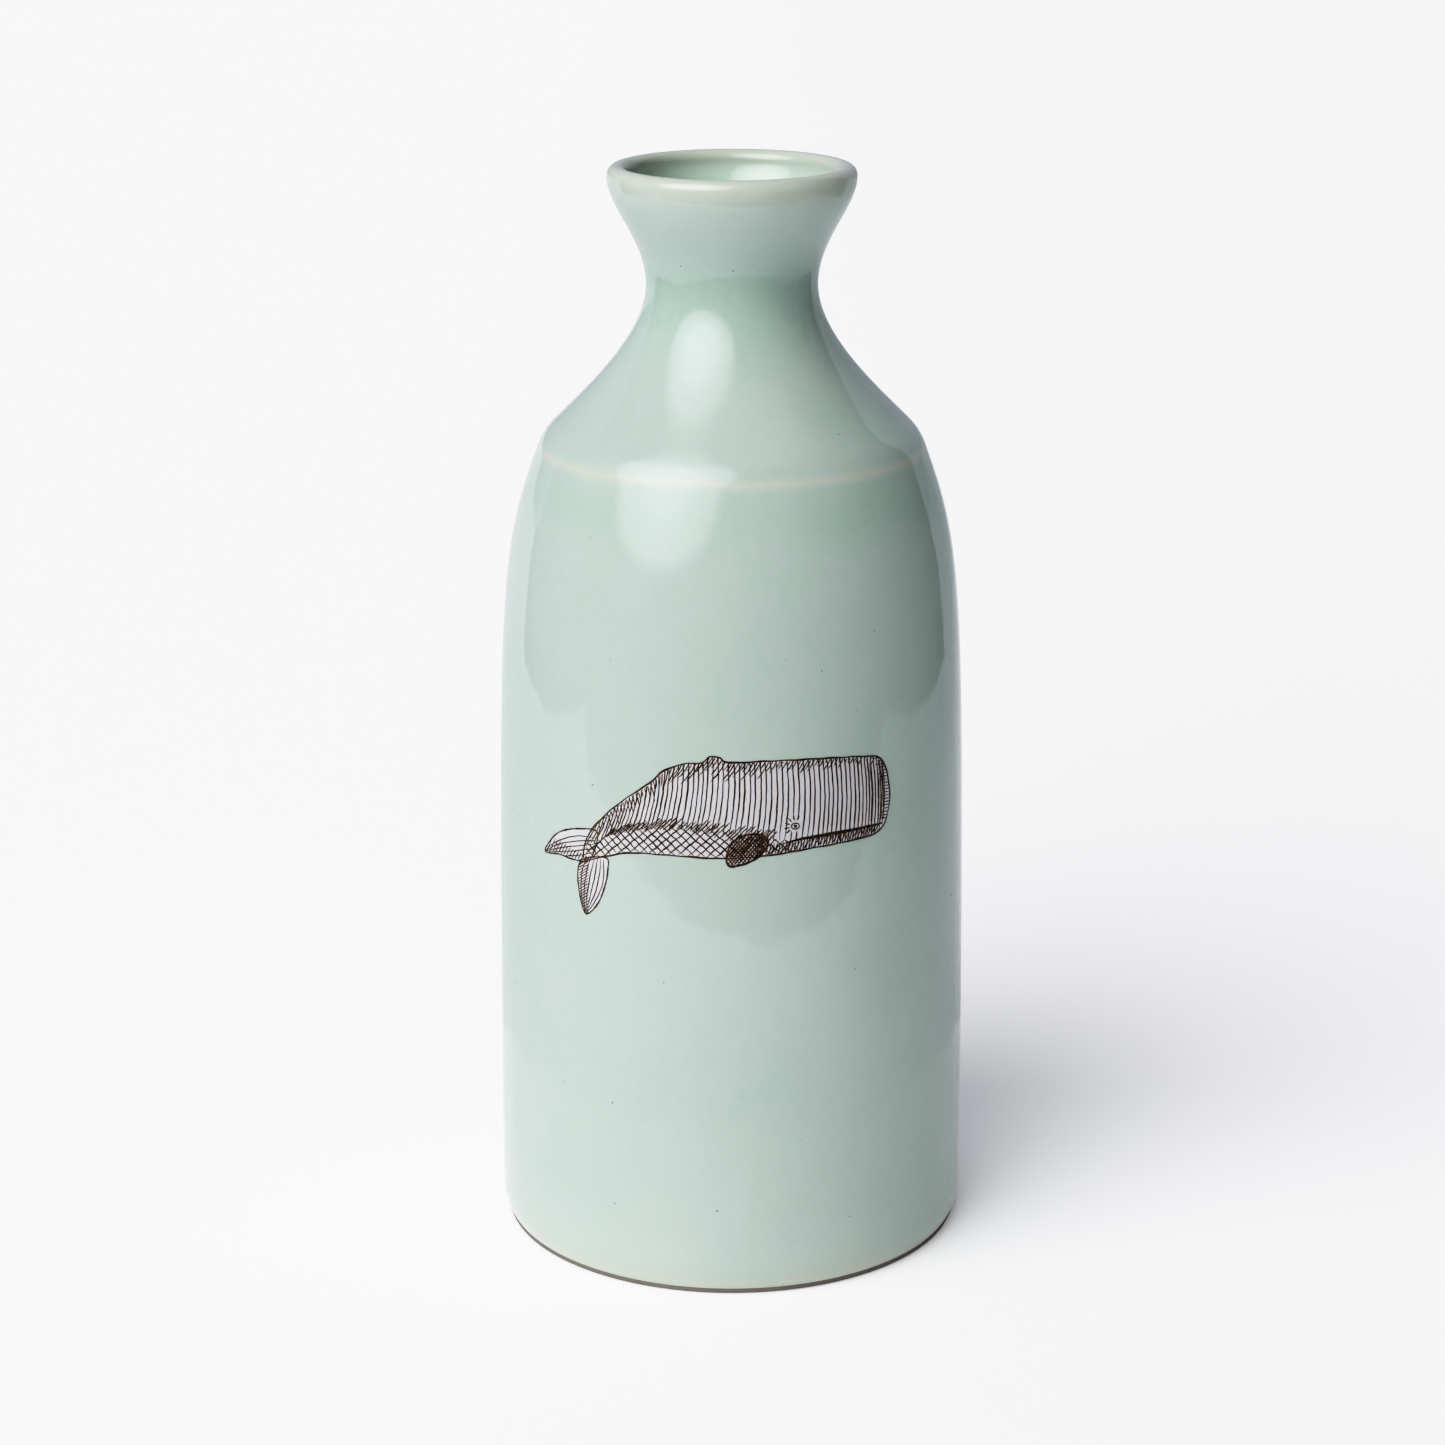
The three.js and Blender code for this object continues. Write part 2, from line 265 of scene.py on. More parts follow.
def stage_sheet(name, points, faces, *paints):
    """A flat thing of the studio, from points in metres."""
    mesh = bpy.data.meshes.new(name)
    mesh.from_pydata(points, [], faces)
    for paint in paints:
        mesh.materials.append(paint)
    sheet = bpy.data.objects.new(name, mesh)
    bpy.context.scene.collection.objects.link(sheet)
    return sheet


# The table's white is painted darker towards the right, a painted shade, and it glows faintly, a painted
# light that lifts the bottle's shadow.
TABLE_REACH, TABLE_GLOW = 9.0, 0.22
table_paint_with_painted_light = matt_paint("white_table_with_painted_light", "#F6F6F7", "#EDEDEF", -0.10, 0.16)
table_shader = table_paint_with_painted_light.node_tree.nodes["Principled BSDF"]
table_shader.inputs["Emission Color"].default_value = linear("#FFFFFF")
table_shader.inputs["Emission Strength"].default_value = TABLE_GLOW
corner_signs = [(-1, -1), (1, -1), (1, 1), (-1, 1)]
table_corners = [(x * TABLE_REACH, y * TABLE_REACH, 0.0) for x, y in corner_signs]
stage_sheet("table_top", table_corners, [(0, 1, 2, 3)], table_paint_with_painted_light)

SHEET_HEIGHT, SHEET_HOLE, SHEET_REACH = 0.0005, 0.10, 12.0
LIT_EDGE = np.array(
    [
        (0.00, -0.210),
        (0.10, -0.180),
        (0.19, -0.125),
        (0.30, -0.105),
        (0.418, -0.095),
        (0.363, 0.098),
        (0.325, 0.260),
        (6.5, 5.3),
        (0.0, 8.9),
        (-6.2, 4.4),
        (-0.375, 0.235),
        (-0.385, 0.017),
        (-0.419, -0.119),
        (-0.315, -0.114),
        (-0.240, -0.164),
        (-0.12, -0.200),
    ]
)
outward = LIT_EDGE / np.linalg.norm(LIT_EDGE, axis=1)[:, None]
count = len(LIT_EDGE)
sheet_rings = (SHEET_HOLE * outward, LIT_EDGE, SHEET_REACH * outward)
sheet_points = [(x, y, SHEET_HEIGHT) for ring in sheet_rings for x, y in ring]
sheet_faces = []
for first in (0, count):
    for i in range(count):
        j = (i + 1) % count
        sheet_faces.append([first + i, first + j, first + count + j, first + count + i])
# Both paints are painted reflections, seen only in the glaze: the pale one stands in for the lit table
# and grows darker towards the right as painted shade, and the dark one stands in for the unlit room.
lit_table_painted_reflection = matt_paint("painted_table_reflection", "#F6F7FA", "#BDC1C7", 0.05, 0.32)
unlit_room_painted_reflection = matt_paint("painted_dark_room_reflection", "#2C2D2C", "#1C1D1C", 0.05, 0.32)
room = stage_sheet("room_in_reflections", sheet_points, sheet_faces, lit_table_painted_reflection, unlit_room_painted_reflection)
room.data.polygons.foreach_set("material_index", [0] * count + [1] * count)
room.visible_camera = False
room.visible_diffuse = False
room.visible_shadow = False
print("lit table reaches", round(float(LIT_EDGE[4, 0]) * 1000), "mm to the right")

# %% [markdown]
# ## The outline
#
# A thrown pot is a surface of revolution, so one outline decides its whole shape.  The
# outline is drawn the way a potter reads a pot from the foot up: a curled foot, a long
# nearly straight wall, a soft arris at the shoulder, a shoulder that sweeps into the throat,
# and a mouth that flares to a rounded lip.  Bezier curves hold those sweeps with few numbers.
# A denser outline than the CAD's is used here, because the gloss shows every facet.

# %% Outline of the outside
def bezier(points, steps, crowd=1.0):
    """Points along a Bezier curve; crowd above 1 packs them towards the far end."""
    t = (1 - (1 - np.linspace(0, 1, steps + 1)) ** crowd)[:, None]
    level = [np.array(point, float) for point in points]
    while len(level) > 1:
        level = [(1 - t) * a + t * b for a, b in zip(level, level[1:])]
    return level[0]


def outside_points():
    """The outside of the wall from the glaze's lower edge to the lip, in millimetres."""
    roll_in, roll_up, arris_round = 2.0, 5.3, 1.6
    edge = np.array([29.1, 126.6])
    wall_bend = np.array([35.5, 108.9])
    shoulder_bend = np.array([25.7, 130.8])
    below = edge + arris_round * (wall_bend - edge) / np.linalg.norm(wall_bend - edge)
    above = edge + arris_round * (shoulder_bend - edge) / np.linalg.norm(shoulder_bend - edge)
    throat = np.array([THROAT_RADIUS, THROAT_HEIGHT])
    lip = np.array([LIP_RADIUS, HEIGHT - LIP_BEAD])
    start = -math.asin((roll_up - GLAZE_EDGE) / roll_up)
    angle = np.linspace(start, 0, 13)
    roll = np.column_stack(
        [BODY_RADIUS - roll_in + roll_in * np.cos(angle), roll_up + roll_up * np.sin(angle)]
    )
    wall = bezier([(BODY_RADIUS, roll_up), (36.4, 106.7), wall_bend, below], 72, crowd=1.7)
    arris = bezier([below, edge, above], 22)
    shoulder = bezier([above, shoulder_bend, (THROAT_RADIUS, THROAT_HEIGHT - 8.9), throat], 44)
    flare = bezier([throat, (THROAT_RADIUS, THROAT_HEIGHT + 6.8), (LIP_RADIUS, lip[1] - 4.6), lip], 34)
    return np.vstack([roll, wall[1:], arris[1:], shoulder[1:], flare[1:]])


OUTSIDE = outside_points()
TANGENT = np.gradient(OUTSIDE, axis=0)
TANGENT /= np.linalg.norm(TANGENT, axis=1)[:, None]
TANGENT[-1] = (0, 1)
INWARD = np.column_stack([-TANGENT[:, 1], TANGENT[:, 0]])
print(len(OUTSIDE), "stations up the outside, widest", OUTSIDE[:, 0].max())

# %% [markdown]
# ## Glaze depth along the outline
# Celadon is tinted glass.  It is green where it lies thick and shows the pale clay where it
# runs thin: on the lip, on the arris of the shoulder and in a band over the foot.  It pools
# in the hollow of the throat.  Each point of the outline carries a glaze depth: about 0 where
# it is thin, 0.5 for the even coat and up to 1 where it pools.  Less than 0 stands for the
# liner inside, so one colour ramp serves the whole pot.  The liner is painted lighter than the
# outer coat: painted light that brightens the inside of the mouth.

# %% Layers of the wall
def bump_at(z, centre, width):
    """A smooth hump of height 1 round a height."""
    return np.exp(-(((z - centre) / width) ** 2))


def outside_layer(depth):
    """Outline points at a depth into the wall, with the glaze depth at each."""
    points = OUTSIDE + INWARD * depth
    z = OUTSIDE[:, 1]
    coat = 0.5 + 0.22 * bump_at(z, THROAT_HEIGHT, 7.0) + 0.10 * bump_at(z, SHOULDER_JOIN - 5, 4.0)
    coat -= 0.40 * bump_at(z, HEIGHT, 3.6)
    coat -= 0.12 * np.clip((14 - z) / 14, 0, 1) + 0.30 * np.clip((3.4 - z) / 1.8, 0, 1)
    return np.column_stack([points, coat])


def lip_layer(depth, steps=22):
    """The rounded lip, from its outside over the crest to its inside."""
    angle = np.linspace(0, math.pi, steps + 1)
    reach = LIP_BEAD - depth
    r = LIP_RADIUS - LIP_BEAD + reach * np.cos(angle)
    z = HEIGHT - LIP_BEAD + reach * np.sin(angle)
    coat = 0.10 - 0.33 * np.clip((angle - 2.2) / 0.9, 0, 1)
    return np.column_stack([r, z, coat])


def wall_thickness(z):
    """The wall is even up the body and thins towards the lip."""
    rise = np.clip((z - THINNING_START) / (HEIGHT - LIP_BEAD - THINNING_START), 0, 1)
    return BODY_WALL + (LIP_WALL - BODY_WALL) * rise


def inside_layer(depth):
    """The inside wall from the lip down to the floor's middle."""
    wall = OUTSIDE[OUTSIDE[:, 1] > FLOOR_TOP + FLOOR_FILLET + 2]
    inward = INWARD[OUTSIDE[:, 1] > FLOOR_TOP + FLOOR_FILLET + 2]
    points = (wall + inward * (wall_thickness(wall[:, 1]) - depth)[:, None])[::-1][1:]
    angle = np.linspace(0, math.pi / 2, 11)
    reach = FLOOR_FILLET + depth
    fillet = np.column_stack(
        [
            BODY_RADIUS - BODY_WALL - FLOOR_FILLET + reach * np.cos(angle),
            FLOOR_TOP + FLOOR_FILLET - reach * np.sin(angle),
        ]
    )
    floor_line = np.column_stack([np.linspace(fillet[-1, 0], 0, 9)[1:], np.full(8, FLOOR_TOP - depth)])
    points = np.vstack([points, fillet, floor_line])
    coat = -0.7 + 0.8 * bump_at(points[:, 1], HEIGHT, 2.2)
    return np.column_stack([points, coat])


for height in (60, 160):
    print("wall", round(float(wall_thickness(height)), 2), "mm thick at", height, "mm up")

# %% [markdown]
# ## Turning the outline
#
# A hand-thrown wall is never perfectly round.  A few hundredths of a millimetre of slow
# waviness is enough to bend the reflections as they bend on the real wall.  The waviness
# fades out at the foot and the lip, so the bottle keeps its size.  Each piece is a closed
# skin: an outer line, an inner line, and the edges that join them.

# %% Turned pieces
# Each wave: lobes round the pot, size in mm, shift, and how it twists with height.
WAVES = [(2, 0.050, 0.7, 0.045), (3, 0.030, 2.1, -0.060), (5, 0.012, 4.0, 0.110)]
JOIN_THINNING, JOIN_MIN_RADIUS = 0.42, 24


def throwing_waves(turn, z):
    """How far the wall stands out from a true circle, in mm; nothing at the foot and lip."""
    fade = np.clip((z - 12) / 25, 0, 1) * np.clip((HEIGHT - 1 - z) / 12, 0, 1)
    return fade * sum(size * np.cos(n * turn + shift + climb * z) for n, size, shift, climb in WAVES)


def join_line(turn, z):
    """How thin the glaze runs over the arris at the shoulder, from 0 to 1."""
    wander = 0.10 * np.sin(3 * turn + 0.4) + 0.06 * np.sin(7 * turn + 2.0)
    wander += 0.04 * np.sin(17 * turn)
    width = 0.66 + 0.07 * np.sin(5 * turn + 1.0) + 0.04 * np.sin(23 * turn)
    return np.exp(-(((z - SHOULDER_JOIN - 0.1 - 0.5 * wander) / width) ** 2))


def finish_piece(name, mesh, material, slot, *nodes):
    """Puts a mesh in the scene, shades it smooth and hides the CAD parts that it stands for."""
    mesh.validate()
    mesh.update()
    for polygon in mesh.polygons:
        polygon.use_smooth = True
    mesh.set_sharp_from_angle(angle=math.radians(40))
    piece = bpy.data.objects.new(name, mesh)
    bpy.context.scene.collection.objects.link(piece)
    mesh.materials.append(material)
    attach(piece, "root")
    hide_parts(*nodes)
    print(name, len(mesh.polygons), "faces")


def turned_mesh(name, loop, rounds=256):
    """A closed loop of (radius, height, glaze depth), turned once round the upright axis."""
    turn = np.linspace(0, 2 * math.pi, rounds, endpoint=False)
    vertices, coats, rings = [], [], []
    for r, z, coat in loop:
        if r < 1e-6:
            rings.append([len(vertices)] * rounds)
            vertices.append((0.0, 0.0, z * MM))
            coats.append(coat)
            continue
        radius = r + throwing_waves(turn, z)
        first = len(vertices)
        rings.append(list(range(first, first + rounds)))
        x, y = radius * np.cos(turn) * MM, radius * np.sin(turn) * MM
        vertices.extend(zip(x, y, [z * MM] * rounds))
        thinning = JOIN_THINNING if r > JOIN_MIN_RADIUS else 0
        coats.extend(coat - thinning * join_line(turn, z))
    faces = []
    for low, high in zip(rings, rings[1:] + rings[:1]):
        for i in range(rounds):
            j = (i + 1) % rounds
            corners = [low[i], low[j], high[j], high[i]]
            face = [v for k, v in enumerate(corners) if v != corners[k - 1]]
            if len(face) > 2:
                faces.append(face)
    mesh = bpy.data.meshes.new(name)
    mesh.from_pydata(vertices, [], faces)
    glaze_depth = mesh.attributes.new("glaze_depth", "FLOAT", "POINT")
    glaze_depth.data.foreach_set("value", np.array(coats, np.float32))
    return mesh


print("waviness at mid height:", np.round(throwing_waves(np.array([0, 1, 2, 3]), 80.0), 3), "mm")

# %% [markdown]
# ## Celadon glaze
#
# Celadon is a feldspar glass coloured by a little iron, dipped on and fired until it melts.
# To the eye it is a pale grey-green glass: mirror-smooth, but with the faint ripple that a
# molten coat keeps, and with small flaws such as iron specks and pinholes.  It could be a
# refracting layer over clay, but a coat 0.4 mm thick reads as colour by depth, so an opaque
# shader with a colour ramp over the glaze depth gives the same look at far less cost.
#
# - Glass has an IOR of about 1.5; this coat was fired until it flowed, so its roughness is
#   only 0.03 to 0.06.
# - Cloudy patches of colour are 10 to 30 mm across; ripples are 3 mm; specks are 0.2 mm.

# %% Celadon glaze
CLOUD_SIZE, CURDLE_SIZE, SPECK_SPACING, RIPPLE_SIZE = 22, 1.3, 2.6, 3.2
RIPPLE_DEPTH, PEEL_DEPTH, PINHOLE_DEPTH = 0.024, 0.004, 0.02
celadon, tree, shader, place = start_material("celadon_glaze")
depth = add(tree, "Attribute", attribute_name="glaze_depth").outputs["Fac"]
clouds = {"Vector": place, "Scale": 1 / (CLOUD_SIZE * MM), "Detail": 3.0, "Roughness": 0.55}
cloud = add(tree, "TexNoise", clouds)
curdle = add(tree, "TexNoise", {"Vector": place, "Scale": 1 / (CURDLE_SIZE * MM), "Detail": 2.0})
shifts = []
for noise, reach in ((cloud, 0.07), (curdle, 0.03)):
    limits = {0: noise.outputs[0], 1: 0.3, 2: 0.7, 3: -reach, 4: reach}
    shifts.append(add(tree, "MapRange", limits).outputs[0])
shift = add(tree, "Math", {0: shifts[0], 1: shifts[1]}, operation="ADD").outputs[0]
local_depth = add(tree, "Math", {0: depth, 1: shift}, operation="ADD").outputs[0]
ramp_place = add(tree, "MapRange", {0: local_depth, 1: -1.0, 2: 1.0}).outputs[0]
ramp = add(tree, "ValToRGB", {0: ramp_place})
stops = ramp.color_ramp.elements
# The liner's pale green is painted light: it is lighter than the outer coat so that the inside of the
# mouth looks brighter.
liner, pooled = (0.15, "#BCCDC2"), (0.99, "#92A99F")
thin_to_thick = [(0.51, "#BDC2B8"), (0.61, "#B8BFB6"), (0.73, "#B1BDB7"), (0.81, "#AABAB2")]
stops[0].position, stops[0].color = liner[0], linear(liner[1])
stops[1].position, stops[1].color = pooled[0], linear(pooled[1])
for position, colour in thin_to_thick:
    stop = stops.new(position)
    stop.color = linear(colour)
spacing = {"Vector": place, "Scale": 1 / (SPECK_SPACING * MM), "Randomness": 1.0}
specks = add(tree, "TexVoronoi", spacing)
core_limits = {0: specks.outputs["Distance"], 1: 0.045, 2: 0.075, 3: 1.0, 4: 0.0}
speck_core = add(tree, "MapRange", core_limits)
speck_pick = add(tree, "SeparateColor", {0: specks.outputs["Color"]})
few = add(tree, "Math", {0: speck_pick.outputs[0], 1: 0.16}, operation="LESS_THAN").outputs[0]
speck = add(tree, "Math", {0: speck_core.outputs[0], 1: few}, operation="MULTIPLY").outputs[0]
weights = {0: speck, 1: speck_pick.outputs[1]}
speck_weight = add(tree, "Math", weights, operation="MULTIPLY").outputs[0]
iron_spots = {0: speck_weight, 6: ramp.outputs[0], 7: linear("#6E6F5C")}
coloured = add(tree, "Mix", iron_spots, data_type="RGBA")
tree.links.new(coloured.outputs[2], shader.inputs["Base Color"])
shader.inputs["IOR"].default_value = 1.5
gloss = add(tree, "MapRange", {0: curdle.outputs[0], 1: 0.3, 2: 0.7, 3: 0.03, 4: 0.06})
tree.links.new(gloss.outputs[0], shader.inputs["Roughness"])
ripples = {"Vector": place, "Scale": 1 / (RIPPLE_SIZE * MM), "Detail": 1.5, "Roughness": 0.4}
ripple = add(tree, "TexNoise", ripples)
relief = {"Height": ripple.outputs[0], "Distance": RIPPLE_DEPTH * MM, "Strength": 1.0}
ripple_bump = add(tree, "Bump", relief)
relief = {"Height": curdle.outputs[0], "Distance": PEEL_DEPTH * MM, "Normal": ripple_bump.outputs[0]}
peel_bump = add(tree, "Bump", relief)
relief = {"Height": speck, "Distance": -PINHOLE_DEPTH * MM, "Normal": peel_bump.outputs[0]}
pinhole = add(tree, "Bump", relief)
tree.links.new(pinhole.outputs[0], shader.inputs["Normal"])
print("celadon ramp has", len(stops), "stops")

# %% [markdown]
# ## Bare stoneware
#
# Under the glaze is a buff stoneware.  It is wheel-thrown, fired hard and left bare on the
# foot.  The foot ring is painted a dark grey: painted shade that stands in for the contact
# shadow under the bottle.  The clay is matt and slightly toasted, with fine grog that reads
# as grain and a few iron spots.  Grog is 0.2 to 0.5 mm across, so the grain's scale is set
# from 0.4 mm.

# %% Bare stoneware
TOAST_SIZE, GROG_SIZE, SPOT_SPACING, GRAIN_DEPTH = 14, 0.4, 1.8, 0.06


def stoneware(name, pale, toasted):
    """Fired bare clay between two tones."""
    material, tree, shader, place = start_material(name)
    toast = add(tree, "TexNoise", {"Vector": place, "Scale": 1 / (TOAST_SIZE * MM), "Detail": 4.0})
    grog = {"Vector": place, "Scale": 1 / (GROG_SIZE * MM), "Detail": 3.0, "Roughness": 0.7}
    grain = add(tree, "TexNoise", grog)
    spots = add(tree, "TexVoronoi", {"Vector": place, "Scale": 1 / (SPOT_SPACING * MM)})
    limits = {0: spots.outputs["Distance"], 1: 0.08, 2: 0.14, 3: 0.5, 4: 0.0}
    spot = add(tree, "MapRange", limits).outputs[0]
    tones = {0: toast.outputs[0], 6: linear(pale), 7: linear(toasted)}
    base = add(tree, "Mix", tones, data_type="RGBA")
    tones = {0: grain.outputs[0], 6: base.outputs[2], 7: linear("#EFEBE4")}
    grained = add(tree, "Mix", tones, data_type="RGBA", blend_type="MULTIPLY")
    tones = {0: spot, 6: grained.outputs[2], 7: linear("#7A5A42")}
    spotted = add(tree, "Mix", tones, data_type="RGBA")
    bump = add(tree, "Bump", {"Height": grain.outputs[0], "Distance": GRAIN_DEPTH * MM})
    tree.links.new(spotted.outputs[2], shader.inputs["Base Color"])
    tree.links.new(bump.outputs[0], shader.inputs["Normal"])
    shader.inputs["Roughness"].default_value = 0.85
    return material


# The foot's dark grey is painted shade: it stands in for the contact shadow under the bottle.
foot_clay_painted_shade = stoneware("foot_stoneware_painted_shade", "#8B8986", "#75726F")
body_clay = stoneware("stoneware_body", "#DDD3C3", "#D2C5B2")
print("clay materials:", foot_clay_painted_shade.name, body_clay.name)

# %% [markdown]
# ## Clay pieces
#
# The body and the shoulder were thrown separately and joined at the arris, and the foot ring
# was trimmed when the clay was leather-hard.  The glaze hides most of this clay, but the
# underside is bare, so its trimming rings are cut into the outline: shallow grooves about
# 1.6 mm apart that a loop tool leaves as the wheel turns.

# %% Foot, body and shoulder clay
def with_coat(points):
    """Outline points with no glaze on them."""
    points = np.array(points, float)
    return np.column_stack([points[:, :2], np.full(len(points), 0.5)])


def clay_between(points, low, high):
    """The part of an outline between two heights, cut cleanly at each."""
    kept = points[(points[:, 1] > low + 0.05) & (points[:, 1] < high - 0.05)]
    ends = []
    for height in (low, high):
        order = np.argsort(points[:, 1])
        ends.append((np.interp(height, points[order, 1], points[order, 0]), height))
    return ends[0], kept[:, :2], ends[1]


foot_inner = FOOT_OUTER - FOOT_WIDTH
foot_top = foot_high.z / MM
clay_outer = outside_layer(CLAY_DEPTH)
clay_inner = inside_layer(CLAY_DEPTH)
foot_loop = with_coat(
    [
        (foot_inner - FOOT_CHAMFER, foot_top),
        (foot_inner, FOOT_CHAMFER),
        (foot_inner + 0.15, 0.18),
        (foot_inner + FOOT_CHAMFER, 0),
        (foot_inner + 1.7, 0.03),
        (foot_inner + 3.1, 0.0),
        (FOOT_OUTER - FOOT_CHAMFER, 0),
        (FOOT_OUTER - 0.15, 0.18),
        (FOOT_OUTER - 0.02, FOOT_CHAMFER),
        (FOOT_OUTER + 0.1, foot_top),
    ]
)
foot_mesh = turned_mesh("trimmed_foot_ring", foot_loop)
finish_piece("trimmed_foot_ring", foot_mesh, foot_clay_painted_shade, "bare_foot", "foot_ring")

trimming_radii = np.linspace(foot_inner - FOOT_CHAMFER, 0.6, 56)
groove = 0.07 * (1 - np.cos(trimming_radii * 2 * math.pi / 1.6)) / 2
trimming = np.column_stack([trimming_radii, FOOT_RECESS + groove])
start, climb, end = clay_between(clay_outer, FOOT_RECESS, SHOULDER_JOIN)
inner_order = clay_inner[clay_inner[:, 1] < SHOULDER_JOIN - 0.05][:, :2]
inner_top = clay_between(clay_inner, FLOOR_TOP, SHOULDER_JOIN)[2]
body_floor = np.vstack([[(0, FOOT_RECESS)], trimming[::-1]])
body_loop = np.vstack([[start], climb, [end], [inner_top], inner_order, body_floor])
body_mesh = turned_mesh("thrown_body", with_coat(body_loop), 160)
finish_piece("thrown_body", body_mesh, body_clay, "stoneware_body", "lower_body")

shoulder_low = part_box("shoulder_and_neck")[0].z / MM
start, climb, end = clay_between(clay_outer, shoulder_low, HEIGHT - LIP_BEAD + 0.06)
inner_side = clay_inner[clay_inner[:, 1] > shoulder_low + 0.05][:, :2]
inner_low = clay_between(clay_inner, shoulder_low, HEIGHT - 2)[0]
clay_lip = lip_layer(CLAY_DEPTH)[1:-1, :2]
shoulder_loop = np.vstack([[start], climb, clay_lip, inner_side, [inner_low]])
neck_mesh = turned_mesh("thrown_shoulder_and_neck", with_coat(shoulder_loop), 160)
finish_piece(
    "thrown_shoulder_and_neck", neck_mesh, body_clay, "stoneware_body", "shoulder_and_neck"
)

# %% [markdown]
# ## Glaze pieces
#
# The inside was glazed by pouring and the outside by dipping.  The dip runs over the lip and
# a little way down the mouth, where it meets the poured coat.  Both are thin skins turned
# from the same outline.  They meet at the throat, out of sight, so that no seam crosses the
# glossy part of the mouth.

# %% Dipped and poured glaze
def split_at_throat(layer):
    """The inside layer in two: the mouth above the throat, and the rest below it."""
    cut = int(np.argmax(layer[:, 1] < THROAT_HEIGHT))
    return layer[: cut + 1], layer[cut:]


mouth_face, well_face = split_at_throat(inside_layer(0.0))
mouth_back, well_back = split_at_throat(inside_layer(GLAZE))
dip_face = np.vstack([outside_layer(0.0), lip_layer(0.0)[1:], mouth_face])
dip_back = np.vstack([outside_layer(GLAZE), lip_layer(GLAZE)[1:], mouth_back])
dip_loop = np.vstack([dip_face, dip_back[::-1]])
dip_mesh = turned_mesh("dipped_celadon", dip_loop)
finish_piece("dipped_celadon", dip_mesh, celadon, "celadon_glaze", "outer_glaze")
well_loop = np.vstack([well_face, well_back[::-1]])
well_mesh = turned_mesh("poured_celadon", well_loop, 192)
finish_piece("poured_celadon", well_mesh, celadon, "celadon_glaze", "inner_glaze")

# %% [markdown]
# ## The whale, laid out flat
#
# The print is a transfer: a sheet of ceramic ink, made flat and slid onto the glazed wall,
# then fired again.  So it is drawn flat here too, in millimetres along the arc and up the
# wall, and wrapped afterwards.  It is a plain sperm whale in the manner of an old engraving,
# with a square head, a small hump, a flipper and two flukes.

# %% Outlines of the whale
WHALE_ARC, WHALE_HEIGHT = -3.0, 76.0
BACK = [(-19.6, -2.8), (-16.4, 0.6), (-13, 3.4), (-9.6, 5.9), (-7.6, 7.8), (-4.6, 9.1)]
HUMP = [(-1.6, 9.5), (-0.4, 10.4), (1.2, 10.3), (2.4, 9.6), (8.5, 9.7), (15.5, 9.5)]
HEAD = [(22, 9), (26.8, 8.2), (28.4, 6.2), (29.2, 2.6), (28.8, -0.8), (26.8, -3.4)]
JAW = [(21, -3.9), (14.5, -4.2), (8, -4.8)]
BELLY = [(1, -5.1), (-5.5, -5), (-12.5, -5.3), (-17.2, -6.6), (-21, -7.8), (-20.9, -5.2)]
UPPER_FLUKE = [(-18.6, -3.2), (-22, -3.2), (-25.8, -4.4), (-28.2, -6.2)]
UPPER_FLUKE += [(-29.8, -8.6), (-26.4, -8.2), (-23, -8.3), (-20, -7.6)]
LOWER_FLUKE = [(-17, -6.8), (-20.9, -7.6), (-22.3, -9.4), (-22.2, -12.6)]
LOWER_FLUKE += [(-20.9, -16.3), (-18.6, -14.4), (-17.2, -11.2), (-16.7, -8.6)]
FLIPPER = [(2.2, -4.9), (3, -2.6), (5.2, -1.5), (7.6, -1.6)]
FLIPPER += [(8.4, -2.9), (7.2, -4.7), (5, -5.9), (2.6, -6.3)]


def smooth_line(points, step=0.35, closed=True):
    """A smooth line through points, with even steps in millimetres."""
    points = np.array(points, float)
    if closed:
        points = np.vstack([points[-1:], points, points[:2]])
    else:
        points = np.vstack([2 * points[0] - points[1], points, 2 * points[-1] - points[-2]])
    line = []
    for p0, p1, p2, p3 in zip(points, points[1:], points[2:], points[3:]):
        count = max(2, int(np.linalg.norm(p2 - p1) / step))
        for t in np.arange(count) / count:
            bend = 2 * p1 + (p2 - p0) * t + (2 * p0 - 5 * p1 + 4 * p2 - p3) * t**2
            line.append(0.5 * (bend + (3 * p1 - p0 - 3 * p2 + p3) * t**3))
    return np.array(line if closed else line + [points[-2]])


def inside(outline, points):
    """Which points lie inside a closed outline."""
    x, y = points[:, :1], points[:, 1:2]
    x0, y0 = outline[:, 0], outline[:, 1]
    x1, y1 = np.roll(x0, -1), np.roll(y0, -1)
    crosses = (y0 > y) != (y1 > y)
    with np.errstate(divide="ignore", invalid="ignore"):
        left = x < (x1 - x0) * (y - y0) / (y1 - y0) + x0
    return (crosses & left).sum(axis=1) % 2 == 1


body_line = smooth_line(BACK + HUMP + HEAD + JAW + BELLY)
upper_fluke_line = smooth_line(UPPER_FLUKE)
lower_fluke_line = smooth_line(LOWER_FLUKE)
flipper_line = smooth_line(FLIPPER, 0.25)
print("whale is", round(float(np.ptp(np.vstack([body_line, upper_fluke_line])[:, 0])), 1), "mm long")

# %% [markdown]
# ## Wrapping a drawing round the wall
#
# Each printed coat is a very thin solid that lies on the glaze.  A flat mesh is bent round
# the wall at two heights, one just under and one just over the print's own thickness, and
# its border is closed with a narrow wall.  Doing it in the mesh, instead of in the material,
# keeps every engraved line sharp from any distance.

# %% Wrapping
def wall_radius(turn, z):
    """The glaze's outer radius at a bearing and a height, in millimetres."""
    return np.interp(z, OUTSIDE[:, 1], OUTSIDE[:, 0]) + throwing_waves(turn, z)


